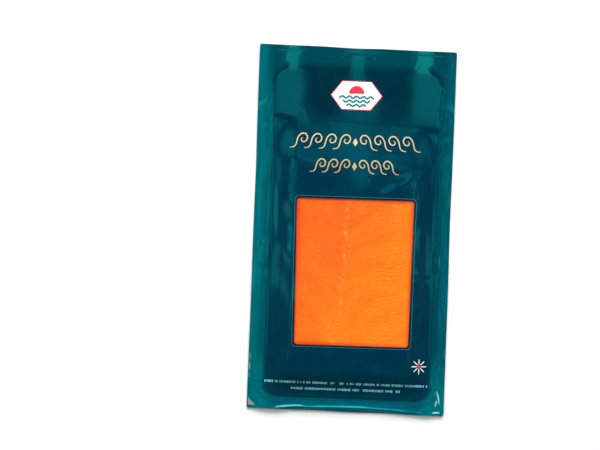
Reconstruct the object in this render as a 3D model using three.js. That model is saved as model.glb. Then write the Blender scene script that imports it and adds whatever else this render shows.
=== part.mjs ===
// A flat sealed pack of sliced smoked salmon, lying on its back with the printed side up.
// It is three closed bodies: the printed pouch, the salmon inside it, and the clear pane of film
// over the window. Millimetres. +X is to the right, +Y towards the hanging end and +Z up. The
// origin is the middle of the footprint, on the surface that the pack lies on.

import * as THREE from 'three';

// Driving dimensions

const packWidth = 151.5;
const packLength = 280;
const packHeight = 9;
const packCorners = { bottomRight: 2.5, topRight: 0.8, topLeft: 0.8, bottomLeft: 1.2 };
const packSkew = { sides: 0.0029, ends: 0.0056 };

const sealThickness = 0.6;
const filmThickness = 0.5;
const paneThickness = 0.35;
const gap = 0.3;

// The stiff panel behind the film shows as a low step. The fish lies on it, from its bottom edge
// to some way below the badge, and swells the film up over its flanks.

const panel = { left: -63.3, right: 64.2, bottom: -128, top: 122.7, corner: 12 };
const panelHeight = 1.5;
const stepWidth = { sides: 2, top: 6 };

const fish = { left: -62.3, right: 63.2, bottom: -126.8, top: 83 };
const flank = { left: 18, right: 16, bottom: 18, top: 33 };
const fishTaper = { perMillimetre: 0.00033, from: -66 };
const fishEdge = 0.2;
const crown = { fall: 0.9, x: 0.5, y: -22, reachX: 62, reachY: 105 };
const hollow = { depth: 0.16, waveX: 21, waveY: 27, startX: 1, startY: 0.6 };

const opening = { left: -42, right: 46.7, bottom: -88.7, top: 23.6, corner: 2.5 };
const printTurn = 0.45;
const printTaper = 0.00025;

// Points along each loop: on the two short sides, on the two long sides and on each corner

const shortSidePoints = 12;
const longSidePoints = 22;
const cornerPoints = 5;
const leastCorner = 0.5;

// A smaller or larger copy of a rounded rectangle

function grow(box, by) {
  return {
    left: box.left - by,
    right: box.right + by,
    bottom: box.bottom - by,
    top: box.top + by,
    corner: Math.max(box.corner + by, leastCorner),
  };
}

// A rounded rectangle as a loop of points, anticlockwise from above. Its corners are quarters of
// ellipses, with a reach along X and one along Y. Every loop has the same number of points on
// each side and corner, so any two of them can be joined by a strip.

function loopOf(box, corners = {}) {
  const reach = (name) => {
    const given = corners[name] ?? box.corner;
    return typeof given === 'number' ? { x: given, y: given } : given;
  };
  const turns = [
    { x: box.right, y: box.bottom, inX: -1, inY: 1, r: reach('bottomRight'), from: -90 },
    { x: box.right, y: box.top, inX: -1, inY: -1, r: reach('topRight'), from: 0 },
    { x: box.left, y: box.top, inX: 1, inY: -1, r: reach('topLeft'), from: 90 },
    { x: box.left, y: box.bottom, inX: 1, inY: 1, r: reach('bottomLeft'), from: 180 },
  ];
  const onTurn = (turn, part) => {
    const angle = THREE.MathUtils.degToRad(turn.from + 90 * part);
    return new THREE.Vector2(
      turn.x + turn.inX * turn.r.x + Math.cos(angle) * turn.r.x,
      turn.y + turn.inY * turn.r.y + Math.sin(angle) * turn.r.y,
    );
  };
  const points = [];
  turns.forEach((turn, side) => {
    for (let i = 0; i <= cornerPoints; i += 1) {
      points.push(onTurn(turn, i / cornerPoints));
    }
    const start = onTurn(turn, 1);
    const stop = onTurn(turns[(side + 1) % turns.length], 0);
    const count = side % 2 === 0 ? longSidePoints : shortSidePoints;
    for (let i = 1; i <= count; i += 1) {
      points.push(start.clone().lerp(stop, i / (count + 1)));
    }
  });
  return points;
}

// A loop part of the way from one loop to another

function between(from, to, part) {
  return from.map((point, i) => point.clone().lerp(to[i], part));
}

// The pack's cut edge: a slightly skewed rectangle whose straight sides wander inwards a little
// between the corners

const edgeWander = { depth: 0.45, waveX: 9, waveY: 19 };

function cutEdge() {
  const box = { left: -packWidth / 2, right: packWidth / 2, bottom: -packLength / 2,
    top: packLength / 2 };
  return loopOf(box, packCorners).map(({ x, y }) => {
    const alongX = Math.cos((Math.PI * x) / packWidth) ** 2;
    const alongY = Math.cos((Math.PI * y) / packLength) ** 2;
    const swayX = 0.6 + 0.4 * Math.sin(y / edgeWander.waveY + Math.sign(x));
    const swayY = 0.5 + 0.5 * Math.sin(x / edgeWander.waveX + 2 * Math.sign(y));
    const inX = edgeWander.depth * alongY * swayX;
    const inY = edgeWander.depth * alongX * swayY;
    return new THREE.Vector2(
      x - Math.sign(x) * inX - packSkew.sides * y,
      y - Math.sign(y) * inY - packSkew.ends * x,
    );
  });
}

// The print isn't quite square to the pack: it is turned a little and narrows downwards

function printed({ x, y }) {
  const middle = new THREE.Vector2(
    (opening.left + opening.right) / 2,
    (opening.bottom + opening.top) / 2,
  );
  const width = 1 + printTaper * (y - middle.y);
  return new THREE.Vector2(middle.x + (x - middle.x) * width, y)
    .rotateAround(middle, THREE.MathUtils.degToRad(printTurn));
}

// How far a point lies outside the panel; negative over it

function outside({ x, y }) {
  const middleX = (panel.left + panel.right) / 2;
  const middleY = (panel.bottom + panel.top) / 2;
  const overX = Math.abs(x - middleX) - (panel.right - panel.left) / 2 + panel.corner;
  const overY = Math.abs(y - middleY) - (panel.top - panel.bottom) / 2 + panel.corner;
  const past = Math.hypot(Math.max(overX, 0), Math.max(overY, 0));
  return past + Math.min(Math.max(overX, overY), 0) - panel.corner;
}

// Half of a cosine wave: from 0 to 1 with soft ends

function soft(part) {
  return (1 - Math.cos(Math.PI * THREE.MathUtils.clamp(part, 0, 1))) / 2;
}

// The bottom seal curls up off the table towards a long fold, which bows up from one end of the
// cut edge to the other, and drops again behind it

const curl = { height: 1.5, ends: -140.3, bow: 3.3, drop: 3, keepsTo: 75, fades: 14 };
const curlRises = { from: -60, over: 22 };
const curlFalls = { to: 68, over: 45 };

function bottomCurl({ x, y }) {
  const bowed = soft((x - curlRises.from) / curlRises.over) * soft((curlFalls.to - x) / curlFalls.over);
  const fold = curl.ends + curl.bow * bowed;
  const up = THREE.MathUtils.clamp((panel.bottom - y) / (panel.bottom - fold), 0, 1);
  const behind = 1 - soft((fold - y) / curl.drop);
  return curl.height * up * up * behind * soft((curl.keepsTo - Math.abs(x)) / curl.fades);
}

// The sealed rim lifts off the table towards its edge, unevenly from place to place. At the
// hanging end it runs out flat instead, a little under the panel's upper face.

const rimLift = { height: 1.4, reach: 12, waveX: 23, waveY: 31, start: 0.8 };
const flatEnd = { from: 55, over: 50, height: 0.7 };

function towardsFlatEnd(point) {
  return soft((point.y - flatEnd.from) / flatEnd.over);
}

function lift(point) {
  const d = outside(point);
  const part = Math.max(d - stepWidth.sides, 0) / rimLift.reach;
  const wave = point.x / rimLift.waveX + point.y / rimLift.waveY + rimLift.start;
  const uneven = 0.65 + 0.35 * Math.sin(wave);
  const towards = towardsFlatEnd(point);
  const rim = (rimLift.height * uneven * (1 - towards) * part * part) / (1 + 0.5 * part * part);
  return rim + flatEnd.height * towards * soft(d / stepWidth.top) + bottomCurl(point);
}

// A low ridge that the drawn film keeps along the bottom seal: it rises out of the cut edge at its
// left end, bows up a little and runs back down to the edge at its right end

const foldHeight = 0.4;
const foldWidth = 1.1;
const foldRise = 3.4;
const foldEnds = { left: -57, right: 66 };
const foldBluntness = 0.35;

function bottomFold(point) {
  const along = (point.x - foldEnds.left) / (foldEnds.right - foldEnds.left);
  if (along <= 0 || along >= 1) {
    return 0;
  }
  const bow = 4 * foldRise * along * (1 - along);
  const off = (point.y + packLength / 2 - bow) / foldWidth;
  return foldHeight * Math.sin(Math.PI * along) ** foldBluntness * Math.exp(-off * off);
}

// The slices reach less far up at the right, so lengths on them shrink towards the right

function shrunk(x, y) {
  return fishTaper.from + (y - fishTaper.from) * (1 - fishTaper.perMillimetre * x);
}

// The loop round the fish at which its flank has risen this part of the way

function flankLoop(part, by = 0) {
  const box = {
    left: fish.left + part * flank.left - by,
    right: fish.right - part * flank.right + by,
    bottom: fish.bottom + part * flank.bottom - by,
    top: fish.top - part * flank.top + by,
  };
  const extra = by + leastCorner;
  const corner = (side, end) => ({ x: (1 - part) * side + extra, y: (1 - part) * end + extra });
  const corners = {
    bottomRight: corner(flank.right, flank.bottom),
    topRight: corner(flank.right, flank.top),
    topLeft: corner(flank.left, flank.top),
    bottomLeft: corner(flank.left, flank.bottom),
  };
  return loopOf(box, corners).map((point) => new THREE.Vector2(point.x, shrunk(point.x, point.y)));
}

// How far the flank has risen at a point, from 0 beside the fish to 1 on top of it

function fishRise({ x, y }) {
  const length = (y - fishTaper.from) / (1 - fishTaper.perMillimetre * x) + fishTaper.from;
  const across = Math.min((x - fish.left) / flank.left, (fish.right - x) / flank.right);
  const along = Math.min((length - fish.bottom) / flank.bottom, (fish.top - length) / flank.top);
  return soft(1 - Math.hypot(Math.max(1 - across, 0), Math.max(1 - along, 0)));
}

// The front film's outer face. It is flat over the panel, swells over the fish to a low crown with
// soft hollows between the slices, and steps down round the panel to the sealed rim.

function frontHeight(point) {
  const d = outside(point);
  if (d > 0) {
    const width = stepWidth.sides + (stepWidth.top - stepWidth.sides) * towardsFlatEnd(point);
    const step = (panelHeight - sealThickness) * soft(1 - d / width);
    return sealThickness + step + lift(point) + bottomFold(point);
  }
  const offX = (point.x - crown.x) / crown.reachX;
  const offY = (point.y - crown.y) / crown.reachY;
  const fall = (crown.fall * (offX * offX + offY * offY)) / 2;
  const wave = Math.sin(point.x / hollow.waveX + hollow.startX)
    * Math.sin(point.y / hollow.waveY + hollow.startY);
  const swell = packHeight - panelHeight - fall - hollow.depth * (1 - wave);
  return panelHeight + fishRise(point) * swell;
}

// Each of these gives a loop its height

const at = (loop, height) => loop.map(({ x, y }) => new THREE.Vector3(x, y, height));
const onFront = (loop, below = 0) =>
  loop.map((point) => new THREE.Vector3(point.x, point.y, frontHeight(point) - below));
const onLift = (loop) => loop.map((point) => new THREE.Vector3(point.x, point.y, lift(point)));

// A closed body through a list of loops. The first and last loops are capped by a middle point.
// The list runs out along the underside and back in over the top, so every face points outwards.

function bodyThrough(loops) {
  const positions = [];
  const faces = [];
  const size = loops[0].length;
  const middleOf = (loop) => loop.reduce((sum, p) => sum.add(p), new THREE.Vector3())
    .divideScalar(size);
  loops.flat().forEach((p) => positions.push(p.x, p.y, p.z));
  for (let k = 0; k + 1 < loops.length; k += 1) {
    for (let i = 0; i < size; i += 1) {
      const here = k * size;
      const next = (i + 1) % size;
      faces.push(here + i, here + next, here + size + next);
      faces.push(here + i, here + size + next, here + size + i);
    }
  }
  const firstMiddle = loops.length * size;
  const lastLoop = firstMiddle - size;
  positions.push(...middleOf(loops[0]).toArray());
  positions.push(...middleOf(loops[loops.length - 1]).toArray());
  for (let i = 0; i < size; i += 1) {
    const next = (i + 1) % size;
    faces.push(firstMiddle, next, i);
    faces.push(firstMiddle + 1, lastLoop + i, lastLoop + next);
  }
  const geometry = new THREE.BufferGeometry();
  geometry.setAttribute('position', new THREE.Float32BufferAttribute(positions, 3));
  geometry.setIndex(faces);
  geometry.computeVertexNormals();
  return geometry;
}

function mesh(name, geometry, colour, roughness) {
  const material = new THREE.MeshStandardMaterial({ color: colour, roughness, metalness: 0 });
  const result = new THREE.Mesh(geometry, material);
  result.name = name;
  return result;
}

// Loops that the pieces share

const edge = cutEdge();
const foot = loopOf(grow(panel, stepWidth.sides));
const panelEdge = loopOf(panel);
const fishTop = flankLoop(1);
const windowEdge = loopOf(opening).map(printed);
const centre = loopOf({ left: 0, right: 5, bottom: -36, top: -29, corner: 1 });

const rimParts = [0.14, 0.26, 0.4, 0.6, 0.8];
const flankParts = [0.3, 0.42, 0.54, 0.68, 0.84];
const topParts = [0.35, 0.7];
const windowParts = [0.45, 0.8];

// The film from the foot of the flank to the window, as loops at some depth below its outside

function overFish(depth) {
  return [
    ...flankParts.map((part) => onFront(flankLoop(part), depth)),
    onFront(fishTop, depth),
    ...topParts.map((part) => onFront(between(fishTop, windowEdge, part), depth)),
    onFront(windowEdge, depth),
  ];
}

// The printed pouch: back film, sealed rim, panel and front film, hollow where the fish lies,
// with the window cut through the front film. The rim is as thick where it lifts as where it lies.

function makePouch() {
  const cavity = flankLoop(fishEdge, gap);
  const rim = rimParts.map((part) => between(edge, foot, part));
  return mesh('pouch', bodyThrough([
    at(panelEdge, 0),
    onLift(foot),
    ...[...rim].reverse().map((loop) => onLift(loop)),
    onLift(edge),
    onFront(edge),
    ...rim.map((loop) => onFront(loop)),
    onFront(foot),
    onFront(panelEdge),
    onFront(flankLoop(0)),
    onFront(flankLoop(0.15)),
    ...overFish(0),
    ...overFish(filmThickness).reverse(),
    onFront(cavity, filmThickness),
    at(cavity, filmThickness),
  ]), 0x004d5c, 0.25);
}

// The sliced salmon: one slab under the swollen front film

function makeSalmon() {
  const depth = filmThickness + gap;
  const side = flankLoop(fishEdge);
  return mesh('salmon', bodyThrough([
    at(side, depth),
    onFront(side, depth),
    ...overFish(depth),
    ...windowParts.map((part) => onFront(between(windowEdge, centre, part), depth)),
    onFront(centre, depth),
  ]), 0xff7328, 0.4);
}

// The clear pane: unprinted film that fills the window, level with the front

function makePane() {
  const rim = loopOf(grow(opening, -gap)).map(printed);
  const inner = windowParts.map((part) => between(rim, centre, part));
  return mesh('window', bodyThrough([
    onFront(centre, paneThickness),
    ...[...inner].reverse().map((loop) => onFront(loop, paneThickness)),
    onFront(rim, paneThickness),
    onFront(rim),
    ...inner.map((loop) => onFront(loop)),
    onFront(centre),
  ]), 0xf4f6f5, 0.1);
}

const pack = new THREE.Group();
pack.add(makePouch(), makeSalmon(), makePane());

export default pack;
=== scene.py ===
# %% [markdown]
# # A sealed pack of sliced smoked salmon
#
# The pack is a flat pouch of thin plastic film. A back film and a printed front film are sealed
# together all round a stiff panel, and on the lower part of the panel lie slices of salmon, which
# swell the front film into a low cushion. A window in the print shows the fish. This lesson
# builds the front film with its folds, the back film, the clear film over the window, the fish
# and the printed marks, and then lights them the way glossy film is lit: with long lamps that it
# can mirror.
#
# Shapes are worked out in millimetres with numpy, because folds of film are easiest to state as
# a height over a flat sheet. One helper turns such a sheet into a closed mesh in metres.

# %% Load the solids
import math

import bpy
import numpy as np
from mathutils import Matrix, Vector


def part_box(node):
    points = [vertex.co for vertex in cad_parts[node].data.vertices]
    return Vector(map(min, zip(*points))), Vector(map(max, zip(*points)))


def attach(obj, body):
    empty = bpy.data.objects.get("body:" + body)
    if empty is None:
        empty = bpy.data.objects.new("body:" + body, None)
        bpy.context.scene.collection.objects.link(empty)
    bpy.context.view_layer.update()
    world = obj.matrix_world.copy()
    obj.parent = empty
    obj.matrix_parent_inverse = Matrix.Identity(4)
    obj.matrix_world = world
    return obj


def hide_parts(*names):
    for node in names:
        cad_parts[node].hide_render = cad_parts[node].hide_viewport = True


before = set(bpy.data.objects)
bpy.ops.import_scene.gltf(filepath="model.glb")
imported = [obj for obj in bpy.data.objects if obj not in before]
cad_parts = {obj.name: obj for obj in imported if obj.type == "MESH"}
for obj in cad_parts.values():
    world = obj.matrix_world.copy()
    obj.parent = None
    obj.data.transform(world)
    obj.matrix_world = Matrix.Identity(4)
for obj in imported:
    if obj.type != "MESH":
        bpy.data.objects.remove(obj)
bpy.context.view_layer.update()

# %% [markdown]
# ## Sizes
#
# These are the sizes that the solids were made from. The panel is a rounded rectangle. The fish
# covers its lower part, and its flanks rise over the widths given here. The print is turned a
# little against the pack and narrows downwards, as print on a drawn film does.

# %% Sizes in millimetres
MM = 0.001
PACK_WIDTH, PACK_LENGTH, PACK_HEIGHT = 151.5, 280.0, 9.0
CUT_CORNERS = {"left_bottom": 1.2, "right_bottom": 2.5, "left_top": 0.8, "right_top": 0.8}
SIDE_SKEW, END_SKEW = 0.0029, 0.0056
PANEL = (-63.3, 64.2, -128.0, 122.7)
PANEL_CORNER = 12.0
PANEL_HEIGHT = 1.5
STEP, STEP_AT_TOP = 2.0, 6.0
FISH = (-62.3, 63.2, -126.8, 83.0)
FLANK_LEFT, FLANK_RIGHT, FLANK_BOTTOM, FLANK_TOP = 18.0, 16.0, 18.0, 33.0
FISH_TAPER, TAPER_FROM = 0.00033, -66.0
OPENING = (-42.0, 46.7, -88.7, 23.6)
OPENING_CORNER = 2.5
OPENING_MIDDLE = ((OPENING[0] + OPENING[1]) / 2, (OPENING[2] + OPENING[3]) / 2)
PRINT_TURN, PRINT_TAPER = math.radians(0.45), 0.00025
SEAL = 0.45
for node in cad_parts:
    low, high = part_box(node)
    print(node, "measures", [round(v / MM, 1) for v in high - low], "mm")

# %% [markdown]
# ## The film as a height over the table
#
# Two numbers say where a point lies. The first is its distance outside the panel, which steps
# down to the seal there. The second is how far the fish has swollen the film: it grows from 0 at
# the foot of the flank to 1 on top, along half a cosine wave, which is close to how a stretched
# film hangs between a seal and a soft edge.

# %% Distances and rises


def soft(part):
    """From 0 to 1 along half a cosine wave."""
    return (1 - np.cos(np.pi * np.clip(part, 0, 1))) / 2


def rising(value, start, over):
    """From 0 at the start to 1 after this many millimetres, which may run backwards."""
    return soft((value - start) / over)


def outside(x, y, box, corner):
    """How far a point lies outside a rounded rectangle; negative inside."""
    left, right, bottom, top = box
    over_x = np.abs(x - (left + right) / 2) - (right - left) / 2 + corner
    over_y = np.abs(y - (bottom + top) / 2) - (top - bottom) / 2 + corner
    past = np.hypot(np.maximum(over_x, 0), np.maximum(over_y, 0))
    return past + np.minimum(np.maximum(over_x, over_y), 0) - corner


def fish_rise(x, y):
    """How far the flank has risen: 0 beside the fish, 1 on top of it."""
    left, right, bottom, top = FISH
    length = (y - TAPER_FROM) / (1 - FISH_TAPER * x) + TAPER_FROM
    across = np.minimum((x - left) / FLANK_LEFT, (right - x) / FLANK_RIGHT)
    along = np.minimum((length - bottom) / FLANK_BOTTOM, (top - length) / FLANK_TOP)
    return soft(1 - np.hypot(np.maximum(1 - across, 0), np.maximum(1 - along, 0)))


# %% The rim's lift, and the plain front
RIM_LIFT, RIM_REACH = 1.4, 12.0
FLAT_FROM, FLAT_OVER, FLAT_HEIGHT = 55.0, 50.0, 1.0
CURL, CURL_AT_ENDS, CURL_BOW, CURL_BACK = 1.5, -140.3, 3.3, 3.0
BOW_AT_LEFT, BOW_AT_RIGHT, CURL_FADE = (-60, 22), (68, -45), (75, -14)
CROWN, CROWN_AT, CROWN_REACH = 0.9, (0.5, -22), (62, 105)
HOLLOW, HOLLOW_WAVES = 0.16, (21, 27)


def bottom_curl(x, y):
    """How far the bottom seal curls up towards its long fold, and down again behind it."""
    fold = CURL_AT_ENDS + CURL_BOW * rising(x, *BOW_AT_LEFT) * rising(x, *BOW_AT_RIGHT)
    up = np.clip((PANEL[2] - y) / (PANEL[2] - fold), 0, 1) ** 2
    down = 1 - soft((fold - y) / CURL_BACK)
    return CURL * up * down * rising(np.abs(x), *CURL_FADE)


def rim_lift(x, y):
    """How far the sealed rim stands off the table; at the hanging end it runs out flat."""
    d = outside(x, y, PANEL, PANEL_CORNER)
    part = np.maximum(d - STEP, 0) / RIM_REACH
    uneven = 0.65 + 0.35 * np.sin(x / 23 + y / 31 + 0.8)
    towards = rising(y, FLAT_FROM, FLAT_OVER)
    rim = RIM_LIFT * uneven * (1 - towards) * part**2 / (1 + 0.5 * part**2)
    return rim + FLAT_HEIGHT * towards * soft(d / STEP_AT_TOP) + bottom_curl(x, y)


def plain_front(x, y):
    """The outside of the front film without its folds."""
    d = outside(x, y, PANEL, PANEL_CORNER)
    foot = STEP + (STEP_AT_TOP - STEP) * rising(y, FLAT_FROM, FLAT_OVER)
    rim = SEAL + (PANEL_HEIGHT - SEAL) * soft(1 - d / foot) + rim_lift(x, y)
    off_x, off_y = (x - CROWN_AT[0]) / CROWN_REACH[0], (y - CROWN_AT[1]) / CROWN_REACH[1]
    fall = CROWN * (off_x**2 + off_y**2) / 2
    wave_x, wave_y = x / HOLLOW_WAVES[0] + 1, y / HOLLOW_WAVES[1] + 0.6
    hollows = HOLLOW * (1 - np.sin(wave_x) * np.sin(wave_y))
    over = PANEL_HEIGHT + fish_rise(x, y) * (PACK_HEIGHT - PANEL_HEIGHT - fall - hollows)
    return np.where(d > 0, rim, over)


print("crown of the pack:", round(float(plain_front(np.array(0.0), np.array(-20.0))), 2), "mm")

# %% [markdown]
# ## Folds and creases
#
# Film that is drawn over a panel and soft fish keeps folds: short tucks round the corners, long
# ripples in the seal beside the fish, and pulls at the foot of the slope. Each is a ridge or a
# groove along a slightly bowed line, and it fades out at both ends. The ones that catch the eye
# are listed one by one, and the many small ones come from sums of waves with a fixed seed. Over
# the bare panel the film is almost a mirror, so there it is given waves of a few thousandths of
# a millimetre only: that is enough to bend the edges of a mirrored lamp.

# %% One crease, and a field of soft ripples


def crease(x, y, start, end, height, width, bow=0.0, blunt=1.0):
    """A ridge along a bowed line, or a groove where the height is negative."""
    run = np.subtract(end, start)
    length = float(np.hypot(*run))
    way = run / length
    along = np.clip(((x - start[0]) * way[0] + (y - start[1]) * way[1]) / length, 0, 1)
    across = (y - start[1]) * way[0] - (x - start[0]) * way[1]
    across = across - 4 * bow * along * (1 - along)
    return height * np.sin(np.pi * along) ** blunt * np.exp(-((across / width) ** 2))


def ripples(x, y, wavelength, seed, stretch=1.0, waves=9):
    """Smooth uneven waves of about -1 to 1, longer along the second axis by the stretch."""
    draw = np.random.RandomState(seed)
    total = np.zeros_like(x)
    for _ in range(waves):
        angle = draw.uniform(0, math.tau)
        k = math.tau / (wavelength * draw.uniform(0.7, 1.5))
        phase = draw.uniform(0, math.tau)
        total += np.sin(k * (x * math.cos(angle) + y * math.sin(angle) / stretch) + phase)
    return total / math.sqrt(waves)


# %% Folds listed one by one
# start, end, height, width, bow and bluntness of the ends, all but the last in millimetres
FOLDS = {
    "foot of the slope": [
        ((-66, 84.5), (-28, 76.0), -0.16, 2.8, 0.4, 0.7),
        ((20, 77.5), (67, 76.0), -0.16, 3.2, -0.6, 0.7),
        ((-41, 92), (-32, 78), 0.018, 1.5),
        ((-24, 88), (-16, 74), 0.018, 1.8),
        ((24, 86), (30, 74), 0.018, 1.8),
        ((-74, 80.5), (-65, 82.0), -0.15, 2.5),
        ((65, 75.0), (74, 73.5), -0.15, 2.5),
    ],
    "front": [
        ((6, 23), (17, 46), 0.17, 2.2),
        ((20, 24), (54, 44), 0.24, 4.2, 1.5),
        ((-60, 52), (-42, 56), 0.10, 1.6, 0.5),
        ((46, -35), (62, -36), -0.10, 1.1),
        ((-40.3, 17), (-39.7, -64), 0.10, 0.55, 0.3),
        ((-38.1, 9), (-37.9, -32), 0.07, 0.5),
    ],
    "bottom seal": [
        ((-57, -140), (66, -140), 0.40, 1.1, 3.4, 0.35),
        ((-45, -133.0), (8, -133.6), 0.28, 1.1, -0.6, 0.6),
        ((-66, -118), (-38, -135.4), 0.30, 1.2, -5.5, 0.6),
        ((-54, -138.4), (-33, -136.5), 0.42, 0.57, 0.5, 0.5),
        ((12, -134.6), (58, -133.2), 0.22, 1.1, -0.8, 0.6),
        ((-32, -135.6), (-20, -134.8), 0.22, 0.8),
        ((-71, -129), (-60, -139), 0.25, 1.0, -1.2),
        ((67.4, -138.1), (73.2, -137.9), 0.50, 0.55, 0.0, 0.4),
        ((69.8, -121), (72.4, -132.0), 0.46, 0.55, 0.5, 0.8),
        ((70.6, -128.2), (69.3, -133.6), 0.46, 0.55, 0.0, 0.8),
        ((66.8, -120), (70.2, -136), 0.34, 0.9, 0.7, 0.6),
        ((54, -138.8), (62, -138.6), 0.20, 0.5),
    ],
    "side seals": [
        ((-74.6, -122), (-73.9, 62), 0.10, 0.7),
        ((-69.8, -126), (-70.4, 76), 0.16, 1.3, 0.6),
        ((71.6, -126), (70.0, 70), 0.20, 1.2, -0.5),
        ((67.0, -30), (67.6, 72), 0.14, 1.0, 0.3),
        ((66.8, 70), (67.2, 112), 0.22, 1.5, 0.2, 0.6),
        ((72.5, 120), (73.6, 132), 0.12, 0.6),
        ((-67.2, -9), (-66.8, -31), 0.6, 3.4, 0.6, 0.5),
        ((-74.6, -97), (-74.0, -102.5), 0.43, 0.6),
        ((-74.5, -104.5), (-74.1, -111), 0.45, 0.6),
        ((-74.3, -113), (-73.9, -117), 0.42, 0.6),
        ((67.4, -12), (67.8, -31), 0.42, 2.4, -0.5, 0.6),
    ],
    "hanging end": [
        ((-75, 137.0), (75, 136.6), 0.05, 0.5, 0.0, 0.3),
        ((-8.5, 135.4), (8.5, 135.3), 0.16, 0.45, 0.0, 0.4),
        ((-12.2, 131.2), (-9.2, 137.0), -0.06, 0.7),
        ((12.2, 131.0), (9.4, 136.8), -0.06, 0.7),
        ((-13, 130.6), (13, 130.4), 0.02, 0.8, 0.0, 0.4),
    ],
}
print("folds placed by hand:", {place: len(folds) for place, folds in FOLDS.items()})

# %% Painted glints where the film has turned pale
# Film that is folded sharply turns pale along the crest, and here that pale crest is also a painted
# glint.
GLINT_FROM, GLINT_OVER, GLINT_WIDTH = 0.65, 0.2, 0.4


def painted_glint_crests(x, y):
    """Painted glint and pale film on a crest, from 0 to 1: only on folds steep for their width."""
    total = np.zeros_like(x)
    for folds in FOLDS.values():
        for start, end, height, width, *shape in folds:
            steep = float(soft((height / width - GLINT_FROM) / GLINT_OVER))
            total += crease(x, y, start, end, steep, GLINT_WIDTH, *shape)
    return np.clip(total, 0, 1)


# %% Tucks round the panel's corners
ROLL_OFF, ROLL_WANDER, ROLL_HEIGHT, ROLL_WIDTH = 5.2, 0.9, 0.30, 1.5
ROLL_DOWN, ROLL_ACROSS = (-96, -18), (34, 20)
# for each tuck: how far from the corner's middle it starts and ends, its height and its width
TUCKS, TUCK_START, TUCK_END = 5, (9, 11), (18, 23)
TUCK_HEIGHT, TUCK_WIDTH = (0.10, 0.28), (0.6, 1.0)


def corner_roll(x, y):
    """A soft roll in the seal that runs round the lower corners of the panel."""
    off = outside(x, y, PANEL, PANEL_CORNER) - ROLL_OFF - ROLL_WANDER * np.sin(x / 7 + y / 9)
    roll = ROLL_HEIGHT * np.exp(-((off / ROLL_WIDTH) ** 2))
    return roll * rising(y, *ROLL_DOWN) * rising(np.abs(x), *ROLL_ACROSS)


def corner_tucks(x, y):
    """Short tucks that fan out round the lower corners of the panel."""
    draw = np.random.RandomState(11)
    left, right, bottom, _ = PANEL
    total = np.zeros_like(x)
    for side, first in ((left, 180), (right, 270)):
        middle = np.array([side - math.copysign(PANEL_CORNER, side), bottom + PANEL_CORNER])
        for tuck in range(TUCKS):
            angle = math.radians(first + 90 * (tuck + draw.uniform(0.2, 0.8)) / TUCKS)
            way = np.array([math.cos(angle), math.sin(angle)])
            total += crease(
                x, y, middle + way * draw.uniform(*TUCK_START),
                middle + way * draw.uniform(*TUCK_END),
                draw.uniform(*TUCK_HEIGHT), draw.uniform(*TUCK_WIDTH),
            )
    return total


# %% The front film with all its relief
# height and wavelength in millimetres, seed, and how much longer than wide the ripples are
RIPPLES = {
    "flanks": (0.16, 28, 3, 1.3), "top of the fish": (0.007, 34, 4, 1),
    "seal beside the fish": (0.08, 5, 5, 7), "whole seal": (0.0009, 6, 7, 1.2),
    "lower seal": (0.055, 4.5, 12, 2.5), "bottom seal": (0.045, 5, 13, 7),
    "everywhere": (0.0015, 18, 6, 1),
}
# where the zones set in, and over how many millimetres they grow
BESIDE_WINDOW, BELOW_SLOPE, OFF_PANEL = (42, 8), (75, -20), (1, 3)
PAST_FISH, LOWER_SEAL, BOTTOM_SEAL = (68, 25), (-70, -30), (-125, -5)


def front(x, y):
    """The outside of the front film."""
    rise = fish_rise(x, y)
    seal = rising(outside(x, y, PANEL, PANEL_CORNER), *OFF_PANEL)
    off_middle = np.abs(x - 2.5)
    shares = {
        "flanks": rising(off_middle, *BESIDE_WINDOW) * rise * rising(y, *BELOW_SLOPE),
        "top of the fish": rise,
        "seal beside the fish": seal * (1 - rising(y, *PAST_FISH)),
        "whole seal": seal,
        "lower seal": seal * rising(y, *LOWER_SEAL),
        "bottom seal": seal * rising(y, *BOTTOM_SEAL),
        "everywhere": 1,
    }
    height = plain_front(x, y) + corner_tucks(x, y) + corner_roll(x, y)
    for folds in FOLDS.values():
        for fold in folds:
            height += crease(x, y, *fold)
    for zone, (size, *shape) in RIPPLES.items():
        waves = ripples(y, x, *shape) if zone == "bottom seal" else ripples(x, y, *shape)
        height += size * shares[zone] * (1 + waves if zone == "seal beside the fish" else waves)
    return height


# %% [markdown]
# ## A sheet as a closed mesh
#
# The grid under each sheet has a line along every edge that matters, so that the cut edge, the
# step round the panel and the window come out straight and crisp. Rounded corners are made by
# pushing the ends of a few rows inwards, by as much as a circle asks for. A sheet then gets a
# top and a bottom height at each point of the grid, and walls where it ends.

# %% Grid lines and round corners


def lines(stops, steps):
    """Lines through every stop, with each stretch no coarser than its own step."""
    found = []
    for low, high, step in zip(stops, stops[1:], steps):
        count = max(1, math.ceil((high - low) / step - 1e-6))
        found.extend(np.linspace(low, high, count, endpoint=False))
    return np.array(found + [stops[-1]])


def arc_lines(reach, pieces=5):
    """Distances from a corner at which rows cut its arc into equal pieces."""
    return [reach * (1 - math.cos(math.pi / 2 * k / pieces)) for k in range(1, pieces + 1)]


def corner_inset(depth, reach_in, reach_along):
    """How far an elliptic corner pulls a row in, at this depth from the end."""
    part = 1 - np.clip(depth / reach_along, 0, 1)
    return reach_in * (1 - np.sqrt(1 - part**2))


def merge_lines(*groups):
    """All lines in order, leaving out those that lie closer than a hair."""
    found = np.array(sorted(np.concatenate([np.asarray(g, float) for g in groups])))
    return found[np.concatenate([[True], np.diff(found) > 0.02])]


# %% The print's turn and taper


def printed(x, y, share=1.0):
    """Moves points with the print, which is turned and narrows downwards."""
    off_x, off_y = x - OPENING_MIDDLE[0], y - OPENING_MIDDLE[1]
    off_x = off_x * (1 + PRINT_TAPER * off_y * share)
    c, s = np.cos(PRINT_TURN * share), np.sin(PRINT_TURN * share)
    return OPENING_MIDDLE[0] + off_x * c - off_y * s, OPENING_MIDDLE[1] + off_x * s + off_y * c


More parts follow.
